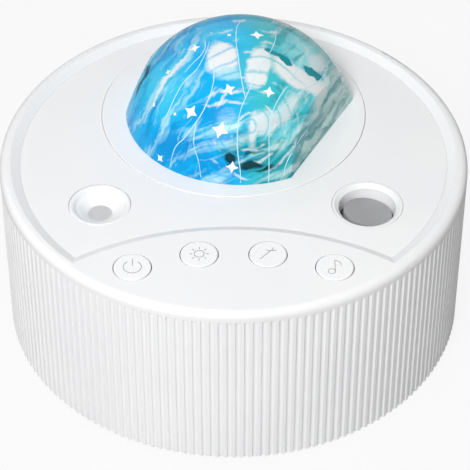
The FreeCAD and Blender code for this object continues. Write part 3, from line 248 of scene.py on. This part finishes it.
def crystal_ball():
    """The middle and the radius of the sphere that the dome is a cap of."""
    ball = (DOME_RADIUS ** 2 + DOME_HEIGHT ** 2) / (2 * DOME_HEIGHT)
    return DOME_FOOT + Vector((0, 0, DOME_HEIGHT - ball)), ball


def crystal_planes(inset):
    """A point and the outward normal of each flat face, moved inwards by inset."""
    planes = []
    for direction, share, lean in FACETS:
        turn, tip = math.radians(direction), math.radians(lean)
        outward = Vector((math.cos(turn), math.sin(turn), 0))
        point = DOME_FOOT + outward * (DOME_RADIUS * share - inset)
        planes.append((point, outward * math.cos(tip) + Vector((0, 0, math.sin(tip)))))
    return planes


def crystal(inset):
    """The dome's cap of a sphere with its flat faces, moved inwards by inset. Inset ones have no foot."""
    middle, ball = crystal_ball()
    work = bmesh.new()
    bmesh.ops.create_icosphere(work, subdivisions=6, radius=ball - inset)
    bmesh.ops.translate(work, verts=work.verts, vec=middle)
    down = Vector((0, 0, -1))
    for point, normal in [(DOME_FOOT, down)] + crystal_planes(inset):
        every = work.verts[:] + work.edges[:] + work.faces[:]
        result = bmesh.ops.bisect_plane(work, geom=every, plane_co=point, plane_no=normal, clear_outer=True)
        rim = [part for part in result["geom_cut"] if isinstance(part, bmesh.types.BMEdge)]
        if normal is not down or inset == 0:
            bmesh.ops.edgeloop_fill(work, edges=rim)
    return work


def dome_shell():
    """The hollow crystal: outer and inner walls joined by a ring at the foot."""
    work = crystal(0)
    for foot in [face for face in work.faces if face.normal.z < -0.99 and len(face.verts) > 20]:
        work.faces.remove(foot)
    inner = crystal(DOME_WALL)
    inner_mesh = bpy.data.meshes.new("dome_inner")
    bmesh.ops.reverse_faces(inner, faces=inner.faces)
    inner.to_mesh(inner_mesh)
    inner.free()
    work.from_mesh(inner_mesh)
    open_edges = [edge for edge in work.edges if edge.is_boundary]
    bmesh.ops.bridge_loops(work, edges=open_edges)
    bmesh.ops.dissolve_degenerate(work, dist=SLIVER, edges=work.edges)
    bmesh.ops.triangulate(work, faces=[face for face in work.faces if len(face.verts) > 4])
    made = from_bmesh("dome_shell", work)
    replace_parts(made, "dome_cover")
    return made


# The dome's colours are laid on a fixed plane through its foot, tipped back by this many degrees
PAINT_TIP = 40.16

DEEP = (0.0, 0.3, 0.76)
SKY = (0.002, 0.5, 0.98)
CYAN = (0.06, 0.7, 1.0)
AQUA = (0.05, 0.62, 0.72)
TEAL = (0.0, 0.3, 0.36)
# PALE_TEAL and MINT are the crystal's own pale teal made paler as painted light, for the right-hand flat
# face that faces away from the lamps
PALE_TEAL = (0.42, 0.95, 0.97)
MINT = (0.72, 1.0, 0.97)
# NIGHT is painted shade, used only in the dark pools; ICE is the palest swirls and also painted light in the
# pools and glints
NIGHT = (0.0, 0.05, 0.07)
FROST = (0.5, 0.9, 1.0)
ICE = (0.94, 1.0, 1.0)

# Broad washes on that plane: across, up, half-width and half-height in millimetres, turn in degrees,
# colour, strength, softness
WASHES = (
    # The pale teal and mint washes on the right are partly the crystal's own colour, partly painted light on
    # its flat face
    (24, 20, 14, 16, 0, PALE_TEAL, 0.8, 0.9),
    (33, 5, 9, 18, -25, MINT, 1.0, 0.6),
    (27, -8, 7, 18, -38, MINT, 0.95, 0.6),
    (16, -10, 9, 9, -30, PALE_TEAL, 0.5, 0.9),
    (-27, 8, 12, 17, -30, CYAN, 0.8, 0.9),
    (-20, -13, 14, 7, -18, DEEP, 0.8, 0.8),
    (-8, -3, 12, 6, -10, DEEP, 0.6, 0.9),
    (-6, 26, 13, 7, 0, CYAN, 0.8, 0.9),
    (3, -15, 12, 6, 0, TEAL, 0.8, 0.6),
    (14, -19, 9, 5, 15, TEAL, 0.6, 0.6),
)

# Pools and streaks laid over them, in the same terms: the pale ICE and FROST pools are painted light,
# glimpses of the white parts inside seen through the crystal and painted highlights; the dark NIGHT pools
# are painted shade; the thin streaks are the crystal's own swirls
PAINTED_LIGHT_SHADE_AND_SWIRLS = (
    (-3.6, -17.2, 2.2, 3.6, -20, NIGHT, 1.0, 0.4),
    (5.5, -19.6, 7.5, 1.9, -4, NIGHT, 1.0, 0.4),
    (4.5, -15.6, 5.5, 0.9, 4, NIGHT, 0.7, 0.5),
    (-6.6, 17.2, 6.4, 6.2, 8, ICE, 1.0, 0.25),
    (-4.4, 11.5, 5.4, 3.6, 10, FROST, 0.8, 0.5),
    (6.0, 14.5, 4.6, 8.5, -18, ICE, 0.95, 0.3),
    (19.5, 11.0, 12.0, 4.6, -30, ICE, 1.0, 0.3),
    (27, 16, 4.0, 4.0, -28, ICE, 0.7, 0.6),
    (26, 8, 5, 3.4, -28, ICE, 0.7, 0.5),
    (7, -5, 6, 5, 0, ICE, 0.8, 0.8),
    (4, -8, 2.0, 8, 0, ICE, 0.7, 0.7),
    (15, -1, 3.4, 10, -38, ICE, 0.7, 0.7),
    (-6, 1.5, 8.0, 0.8, 0, ICE, 0.7, 0.6),
    (-5, 4.6, 8.5, 0.7, 4, ICE, 0.7, 0.6),
    (13.8, 17.4, 6.5, 1.3, -26, TEAL, 1.0, 0.1),
    (25.5, 12.6, 4.6, 1.2, -30, TEAL, 1.0, 0.1),
    (10.5, 6.5, 4.5, 1.0, -32, AQUA, 0.9, 0.3),
    (-19, 18, 1.5, 13, -34, FROST, 0.8, 0.8),
    (-23, 13, 0.8, 13, -34, ICE, 0.7, 0.7),
    (-15.5, 8, 1.0, 13, -30, FROST, 0.65, 0.8),
    (-28, 5, 0.7, 14, -33, ICE, 0.7, 0.7),
    (-32, 1, 0.8, 12, -33, FROST, 0.7, 0.7),
    (-24, -3, 0.9, 13, -30, FROST, 0.7, 0.7),
    (-34, 10, 1.0, 8, -24, NIGHT, 0.9, 0.4),
    (-29, 0, 0.9, 8, -32, DEEP, 0.8, 0.5),
    (33, 8, 0.9, 12, -38, TEAL, 0.6, 0.5),
    (22, -12, 0.9, 12, -38, TEAL, 0.6, 0.5),
)


def dab(tree, spot, below, wash):
    """One soft ellipse of colour, a row of WASHES or PAINTED_LIGHT_SHADE_AND_SWIRLS, laid over the colour below."""
    across, up, wide, high, turn, tone, strength, softness = wash
    placed = node(tree, "Mapping", {
        "Vector": spot,
        "Location": (across * MM, up * MM, 0),
        "Rotation": (0, 0, math.radians(turn)),
        "Scale": (wide * MM, high * MM, 1),
    }, vector_type="TEXTURE").outputs["Vector"]
    ball = node(tree, "TexGradient", {"Vector": placed}, gradient_type="SPHERICAL").outputs["Fac"]
    return mix(tree, ramp(tree, ball, 0.02, 0.12 + 0.6 * softness, 0.0, strength), below, tone)


def warped(tree, flat, coords, scale, detail, reach):
    """The flat place nudged by a noise, so that shapes laid there swirl."""
    drift = node(tree, "TexNoise", {"Vector": coords, "Scale": scale, "Detail": detail})
    about_half = {0: drift.outputs["Color"], 1: (0.5, 0.5, 0.5)}
    centred = node(tree, "VectorMath", about_half, operation="SUBTRACT")
    nudge = node(tree, "VectorMath", {0: centred.outputs[0], "Scale": reach}, operation="SCALE")
    return node(tree, "VectorMath", {0: flat, 1: nudge.outputs[0]}, operation="ADD").outputs[0]


def both(tree, one, other):
    return node(tree, "Math", {0: one, 1: other}, operation="MULTIPLY").outputs[0]


def streaked(tree, flat, steer):
    """The flat place drawn out along a line leaning by steer degrees from upright."""
    return node(tree, "Mapping", {
        "Vector": flat, "Rotation": (0, 0, math.radians(steer)), "Scale": (1.0, 9.0, 1.0),
    }, vector_type="TEXTURE").outputs["Vector"]


def flat_place(tree, coords):
    """Across and up on the plane that the colours are laid on."""
    tip = math.radians(PAINT_TIP)
    from_foot = {0: coords, 1: tuple(DOME_FOOT)}
    shifted = node(tree, "VectorMath", from_foot, operation="SUBTRACT").outputs[0]
    split = node(tree, "SeparateXYZ", {0: shifted})
    back = node(tree, "Math", {0: split.outputs["Y"], 1: math.sin(tip)}, operation="MULTIPLY").outputs[0]
    lift = {0: split.outputs["Z"], 1: math.cos(tip), 2: back}
    rise = node(tree, "Math", lift, operation="MULTIPLY_ADD").outputs[0]
    return node(tree, "CombineXYZ", {"X": split.outputs["X"], "Y": rise}).outputs[0]


def with_streaks(tree, colour, swirled, across, up, rightness):
    """Dark and pale streaks laid over a colour: low in the middle, on the left and on the right."""
    deeper = mix(tree, rightness, DEEP, TEAL)
    # MINT on the right is partly painted light
    paler = mix(tree, rightness, FROST, MINT)
    left = ramp(tree, across, -18 * MM, -10 * MM, 1.0, 0.0)
    right = ramp(tree, across, 6 * MM, 14 * MM)
    low = both(tree, ramp(tree, across, -26 * MM, -16 * MM), ramp(tree, up, -2 * MM, 6 * MM, 1.0, 0.0))
    for place, steer, fineness in ((low, -70, 330.0), (left, -31, 480.0), (right, -40, 420.0)):
        along = streaked(tree, swirled, steer)
        dark = ramp(tree, noise(tree, along, 0.6 * fineness, 4.0, 0.7), 0.5, 0.62, 0.0, 0.7)
        pale = ramp(tree, noise(tree, along, fineness, 5.0, 0.5), 0.54, 0.68, 0.0, 0.75)
        colour = mix(tree, both(tree, dark, place), colour, deeper)
        colour = mix(tree, both(tree, pale, place), colour, paler)
    return colour


def with_painted_rings(tree, colour, ground, swirled, across):
    """Painted rings round the middle laid over a colour, standing in for the parts inside seen through the
    crystal: thin lines of the ground colour, and broken painted glints.
    """
    about_middle = {0: swirled, 1: (3 * MM, -6 * MM, 0)}
    painted_rings = node(tree, "TexWave", {
        "Vector": node(tree, "VectorMath", about_middle, operation="SUBTRACT").outputs[0],
        "Scale": 75.0, "Distortion": 1.6, "Detail": 3.0, "Detail Scale": 60.0,
    }, wave_type="RINGS", rings_direction="Z").outputs["Fac"]
    left_end = ramp(tree, across, -14 * MM, -8 * MM)
    right_end = ramp(tree, across, 16 * MM, 24 * MM, 1.0, 0.0)
    middle = both(tree, left_end, right_end)
    thin = ramp(tree, painted_rings, 0.88, 0.97, 0.0, 0.6)
    colour = mix(tree, both(tree, thin, middle), colour, ground)
    broken = ramp(tree, noise(tree, swirled, 150.0), 0.5, 0.6)
    glints = both(tree, ramp(tree, painted_rings, 0.12, 0.03, 0.0, 0.7), broken)
    return mix(tree, both(tree, glints, middle), colour, ICE)


def dome_material():
    """Tinted crystal: blue on the left, teal on the right, streaked, with pools of painted light and painted
    shade, and painted rings seen through it.
    """
    material, tree, principled, coords = shader("crystal_dome")
    flat = flat_place(tree, coords)
    soft = warped(tree, flat, coords, 60.0, 3.0, 14 * MM)
    swirled = warped(tree, flat, coords, 75.0, 5.0, 5.5 * MM)
    ragged = warped(tree, swirled, coords, 260.0, 3.0, 3 * MM)
    split = node(tree, "SeparateXYZ", {0: soft})
    across, up = split.outputs["X"], split.outputs["Y"]
    rightness = ramp(tree, across, -4 * MM, 6 * MM)
    ground = mix(tree, rightness, SKY, AQUA)

    colour = ground
    for wash in WASHES:
        colour = dab(tree, soft, colour, wash)
    colour = with_streaks(tree, colour, swirled, across, up, rightness)
    # Painted light and painted shade in pools, with the crystal's own thin swirls among them
    for pool in PAINTED_LIGHT_SHADE_AND_SWIRLS:
        colour = dab(tree, ragged, colour, pool)
    # Painted rings of the parts inside seen through the crystal, with painted glints
    colour = with_painted_rings(tree, colour, ground, swirled, across)

    ripples = noise(tree, stretch(tree, swirled, (0.35, 1.0, 1.0)), 420.0, 4.0, 1.5)
    tree.links.new(colour, principled.inputs["Base Color"])
    tree.links.new(spread(tree, ripples, 0.08, 0.14), principled.inputs["Roughness"])
    principled.inputs["IOR"].default_value = 1.25
    principled.inputs["Transmission Weight"].default_value = 0.15
    principled.inputs["Subsurface Weight"].default_value = 0.15
    principled.inputs["Subsurface Radius"].default_value = (0.6, 1.0, 1.0)
    principled.inputs["Subsurface Scale"].default_value = 0.02
    bump(tree, ripples, principled, 0.15, 0.8 * MM)
    return material


def tube(name, points, radius, body="projector"):
    """A smooth round line through points, closed at both ends, as a mesh."""
    curve = bpy.data.curves.new(name, "CURVE")
    curve.dimensions = "3D"
    curve.bevel_depth = radius
    curve.bevel_resolution = 3
    curve.use_fill_caps = True
    spline = curve.splines.new("BEZIER")
    spline.bezier_points.add(len(points) - 1)
    for knot, point in zip(spline.bezier_points, points):
        knot.co = point
        knot.handle_left_type = knot.handle_right_type = "AUTO"
    source = bpy.data.objects.new(name + "_curve", curve)
    bpy.context.scene.collection.objects.link(source)
    shaped = source.evaluated_get(bpy.context.evaluated_depsgraph_get())
    mesh = bpy.data.meshes.new_from_object(shaped)
    bpy.data.objects.remove(source)
    mesh.name = name
    return mesh_object(name, mesh, body)


# Fine lines on the crystal, partly sunk in it, each a run of points in millimetres
LINE_RADIUS = 0.2 * MM
LINE_SUNK = 0.13 * MM
LINES = (
    [(4.3, 38.9, 95.2), (1.6, 32.8, 97.1), (0.9, 27.1, 97.9), (0.9, 21.3, 97.9), (1.5, 15.2, 97.1),
     (2.2, 9.2, 95.3), (3.2, 3.1, 92.4), (3.9, 0.4, 90.6)],
    [(14.7, 31.6, 95.5), (14.2, 24.6, 96.3), (12.4, 17.8, 96.3), (9.6, 12.1, 95.6), (6.9, 6.6, 93.9),
     (4.9, 1.9, 91.6), (3.2, -1.3, 89.4), (2.2, -3.6, 87.4), (1.5, -6.7, 84.3), (1.2, -9.8, 80.4),
     (1.5, -12.5, 76.1), (2.2, -14.6, 71.3), (2.4, -16.0, 66.8)],
    [(25.0, 29.0, 90.9), (23.8, 20.8, 91.9), (21.2, 12.7, 91.7), (18.0, 6.4, 90.6), (15.3, 1.8, 89.1),
     (13.6, -1.4, 87.3), (12.2, -4.6, 84.8), (11.9, -8.0, 81.0), (11.9, -10.8, 76.8), (11.9, -13.5, 71.2),
     (11.8, -15.1, 66.3)],
    [(-8.3, 19.0, 96.3), (-6.9, 13.3, 95.5), (-6.6, 8.3, 93.9), (-7.2, 4.1, 91.6), (-8.6, 0.8, 89.1),
     (-10.6, -2.2, 85.9), (-13.3, -4.3, 82.4), (-16.3, -5.8, 78.4), (-19.4, -6.1, 74.7), (-20.5, -6.7, 72.1),
     (-21.5, -7.9, 67.4)],
    [(-12.6, -4.3, 82.8), (-13.3, -6.5, 79.8), (-13.3, -8.5, 76.7), (-11.9, -11.2, 72.8),
     (-11.0, -13.6, 67.3)],
    [(37.0, 23.0, 76.8), (32.9, 15.4, 77.4), (28.1, 6.7, 78.3), (25.3, 1.0, 76.8), (21.8, -5.8, 76.2),
     (19.0, -9.9, 73.5), (17.3, -12.1, 70.0), (17.0, -13.1, 67.4)],
    [(32.5, 36.9, 81.9), (32.8, 27.8, 84.4), (31.4, 19.3, 85.7), (28.1, 12.7, 87.0), (22.5, 6.3, 88.2),
     (18.7, 1.7, 87.5), (15.3, -1.2, 86.8), (12.9, -4.0, 85.2)],
    [(-7.7, 29.0, 96.5), (-8.7, 21.1, 96.4), (-10.7, 15.2, 94.9), (-12.7, 11.9, 93.2), (-16.4, 9.7, 90.6),
     (-19.5, 6.2, 86.9), (-22.2, 2.8, 82.3), (-24.9, 0.7, 77.0), (-26.7, -0.9, 72.1)],
    [(-12.7, 35.4, 93.5), (-9.7, 23.6, 96.2), (-10.4, 18.7, 95.7), (-14.8, 14.3, 93.0), (-18.1, 11.3, 90.2)],
)

# Stars: middle and reach of the points in millimetres, turn in degrees
STAR_WAIST = 0.46
STAR_HUB_PROUD = 0.09 * MM
STAR_RIM_PROUD = 0.06 * MM
STARS = (
    ((8.0, 25.8, 97.6), 2.5, 100),
    ((-13.2, 21.9, 94.9), 2.0, 5),
    ((-22.4, 16.4, 88.9), 1.1, 10),
    ((-1.5, 2.9, 92.0), 2.2, 60),
    ((11.9, 2.8, 90.9), 2.1, 30),
    ((-14.3, -0.8, 85.2), 2.6, 10),
    ((-13.7, 2.4, 87.6), 1.9, 40),
    ((-4.5, -7.4, 82.7), 2.9, 12),
    ((-0.5, -14.1, 72.2), 2.2, 5),
    ((-25.0, -4.7, 68.2), 1.6, 30),
    ((-19.8, 1.0, 82.9), 0.8, 0),
    ((-27.1, 8.3, 81.0), 0.9, 0),
    ((-1.5, 25.5, 97.8), 1.0, 20),
)


def star_mesh(middle, size, turn):
    """A four-pointed star lying on the crystal, just proud of it."""
    place = Vector(middle) * MM
    centre, ball = crystal_ball()
    up = (place - centre).normalized()
    on_facet = (place - centre).length < ball - 0.3 * MM
    if on_facet:
        up = min(crystal_planes(0), key=lambda plane: abs((place - plane[0]).dot(plane[1])))[1]
    side = up.cross(Vector((0, 0, 1))).normalized()
    top = side.cross(up)
    work = bmesh.new()
    hub = work.verts.new(place + up * STAR_HUB_PROUD)
    rim = []
    for number in range(8):
        angle = math.radians(turn + 45 * number)
        reach = size * MM * (1.0 if number % 2 == 0 else STAR_WAIST)
        spot = place + (side * math.cos(angle) + top * math.sin(angle)) * reach
        if not on_facet:
            spot = centre + (spot - centre).normalized() * ball
        rim.append(work.verts.new(spot + up * STAR_RIM_PROUD))
    for number in range(8):
        work.faces.new((hub, rim[number], rim[(number + 1) % 8]))
    return work


def dress_dome():
    """The crystal shell with its fine lines and its stars."""
    wear(dome_shell(), dome_material())
    centre = crystal_ball()[0]
    for number, run in enumerate(LINES):
        points = [Vector(point) * MM for point in run]
        sunk = [point + (centre - point).normalized() * LINE_SUNK for point in points]
        wear(tube(f"dome_line_{number}", sunk, LINE_RADIUS), PALE_LINE)
    work = bmesh.new()
    for middle, size, turn in STARS:
        single = star_mesh(middle, size, turn)
        mesh = bpy.data.meshes.new("star")
        single.to_mesh(mesh)
        single.free()
        work.from_mesh(mesh)
    wear(from_bmesh("dome_stars", work, smooth=None), STAR_WHITE)


dress_dome()


# The star port

# The port's middle, in millimetres: the deck's height and the distance from the drum's axis
DECK_TOP = 65.7
PORT_REACH = 51.5
PORT_ANGLE = math.radians(30)
LATHE_STEPS = 96

# Section of the port's ring: radius and height above the deck in millimetres
RING_SECTION = (
    (6.7, -3.8), (6.7, -3.6), (11.9, -3.6), (11.9, -2.4), (10.3, -2.4), (10.3, -0.2), (10.15, -0.05),
    (9.9, 0.0), (9.3, -0.08), (8.8, -0.32), (8.35, -0.75), (8.05, -1.1), (7.7, -1.25), (7.2, -1.42),
    (6.4, -1.85), (5.6, -2.35), (4.9, -2.85), (4.3, -3.25), (3.95, -3.6), (3.9, -3.8),
)


def lathe(name, section, centre):
    """A closed section of (radius, height) in millimetres turned about an upright axis."""
    x, y, z = centre
    work = bmesh.new()
    rings = []
    for radius, height in section:
        ring = []
        for number in range(LATHE_STEPS):
            turn = 2 * math.pi * number / LATHE_STEPS
            spot = (x + radius * math.cos(turn), y + radius * math.sin(turn), z + height)
            ring.append(work.verts.new(Vector(spot) * MM))
        rings.append(ring)
    for one, other in zip(rings, rings[1:] + rings[:1]):
        for number in range(LATHE_STEPS):
            after = (number + 1) % LATHE_STEPS
            work.faces.new((one[number], one[after], other[after], other[number]))
    bmesh.ops.recalc_face_normals(work, faces=work.faces)
    return from_bmesh(name, work, smooth=35)


def dress_ports():
    """The star port's ring, with its rim rounded over into the cup."""
    middle = (-PORT_REACH * math.cos(PORT_ANGLE), -PORT_REACH * math.sin(PORT_ANGLE), DECK_TOP)
    star = lathe("star_port_ring", RING_SECTION, middle)
    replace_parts(wear(star, WHITE), "star_port_bezel")


dress_ports()


# Key symbols: thin strokes lying on the key tops, in millimetres about each key's middle

# The keys' middles lie on an arc about this place ahead of the drum
KEY_ARC_RADIUS = 80
KEY_ARC_Y = -131.2
KEY_TOP = 67.52
KEY_ANGLES = (-24, -8, 8, 24)
KEY_BODIES = ("power_button", "light_button", "mode_button", "music_button")
STROKE_RADIUS = 0.12 * MM


def arc(radius, start, end, x=0.0, y=0.0, steps=14):
    """Points on an arc from start to end degrees about x, y."""
    turns = [math.radians(start + (end - start) * n / steps) for n in range(steps + 1)]
    return [(x + radius * math.cos(t), y + radius * math.sin(t)) for t in turns]


def sun_strokes():
    """A ring with eight rays."""
    rays = []
    for number in range(8):
        turn = math.radians(45 * number)
        rays.append([(reach * math.cos(turn), reach * math.sin(turn)) for reach in (2.3, 3.2)])
    return [arc(1.6, 0, 360)] + rays


# Strokes of the power, light, mode and music symbols
SYMBOLS = (
    [arc(2.9, 128, 412), [(0, 0.6), (0, 3.8)]],
    sun_strokes(),
    [[(-2.6, -2.4), (0.9, 1.5)], [(-0.7, 1.9), (0.9, 1.5), (1.8, 3.0)], [(0.9, 1.5), (2.8, 1.6)]],
    [arc(1.15, 0, 360, -1.1, -2.1), [(0.05, -2.1), (0.05, 3.2)], [(0.05, 3.2), (1.9, 1.9), (2.0, 0.6)]],
)


def dress_keys():
    """The four symbols, each riding on its key."""
    for symbol, angle, body in zip(SYMBOLS, KEY_ANGLES, KEY_BODIES):
        turn = math.radians(angle)
        x, y = KEY_ARC_RADIUS * math.sin(turn), KEY_ARC_RADIUS * math.cos(turn) + KEY_ARC_Y
        for number, stroke in enumerate(symbol):
            points = [Vector((x + u, y + v, KEY_TOP)) * MM for u, v in stroke]
            wear(tube(f"{body}_symbol_{number}", points, STROKE_RADIUS, body), INK)


dress_keys()


# Studio

FLOOR_REACH = 3
AMBIENT = 0.2
CAMERA_DOWN = 40.16

# Share of plain white in what the camera sees of the floor
FLOOR_GLOW = 0.88

# Lights aimed at AIM: name, place, size in metres, power in watts
AIM = Vector((0, 0, 0.04))
LIGHTS = (
    ("key_light", (-0.21, -0.68, 0.79), 0.4, 8.9),
    ("top_light", (0.0, 0.3, 1.2), 0.9, 2.7),
    ("rim_light", (-0.9, 0.5, 0.6), 0.5, 0.6),
)


def floor_material():
    """Pale floor that keeps the shadow and reads as near white to the camera."""
    material = solid("floor", (0.62, 0.62, 0.62), (0.6, 0.6, 0.6), 0.9, relief=0.0)
    tree = material.node_tree
    principled = tree.nodes["Principled BSDF"]
    rays = tree.nodes.new("ShaderNodeLightPath")
    share = node(tree, "Math", {0: rays.outputs["Is Camera Ray"], 1: FLOOR_GLOW}, operation="MULTIPLY")
    glow = node(tree, "Emission", {"Color": (1, 1, 1, 1), "Strength": 1.0})
    blend = node(tree, "MixShader", {0: share.outputs[0], 1: principled.outputs[0], 2: glow.outputs[0]})
    tree.links.new(blend.outputs[0], tree.nodes["Material Output"].inputs["Surface"])
    return material


def surroundings():
    """A white world that is seen and reflected at full strength and lights at a lower one."""
    world = bpy.data.worlds.new("studio")
    bpy.context.scene.world = world
    world.use_nodes = True
    tree = world.node_tree
    lighting = tree.nodes["Background"]
    lighting.inputs["Color"].default_value = (1, 1, 1, 1)
    lighting.inputs["Strength"].default_value = AMBIENT
    plain = node(tree, "Background", {"Color": (1, 1, 1, 1), "Strength": 1.0})
    rays = tree.nodes.new("ShaderNodeLightPath").outputs
    seen = node(tree, "Math", {0: rays["Is Camera Ray"], 1: rays["Is Glossy Ray"]}, operation="MAXIMUM")
    any_way = {0: seen.outputs[0], 1: rays["Is Transmission Ray"]}
    share = node(tree, "Math", any_way, operation="MAXIMUM")
    chooser = node(tree, "MixShader", {0: share.outputs[0], 1: lighting.outputs[0], 2: plain.outputs[0]})
    tree.links.new(chooser.outputs[0], tree.nodes["World Output"].inputs["Surface"])


def studio():
    """World, floor and lights."""
    scene = bpy.context.scene
    surroundings()

    far = FLOOR_REACH
    floor_mesh = bpy.data.meshes.new("floor")
    corners = [(-far, -far, 0), (far, -far, 0), (far, far, 0), (-far, far, 0)]
    floor_mesh.from_pydata(corners, [], [(0, 1, 2, 3)])
    floor = bpy.data.objects.new("floor", floor_mesh)
    scene.collection.objects.link(floor)
    floor_mesh.materials.append(floor_material())

    for name, spot, size, power in LIGHTS:
        data = bpy.data.lights.new(name, "AREA")
        data.shape = "DISK"
        data.size = size
        data.energy = power
        lamp = bpy.data.objects.new(name, data)
        lamp.location = spot
        lamp.rotation_euler = (AIM - Vector(spot)).to_track_quat("-Z", "Y").to_euler()
        scene.collection.objects.link(lamp)

    scene.view_settings.view_transform = "Standard"


def camera():
    """The photograph's view, looking down by CAMERA_DOWN degrees."""
    data = bpy.data.cameras.new("camera")
    data.sensor_width = 36
    data.lens = 160.5
    data.shift_x = 0.003
    data.shift_y = -0.149
    data.clip_end = 20
    made = bpy.data.objects.new("camera", data)
    made.location = (0, -0.551, 0.5262)
    made.rotation_euler = (math.radians(90 - CAMERA_DOWN), 0, 0)
    bpy.context.scene.collection.objects.link(made)
    bpy.context.scene.camera = made


studio()
camera()
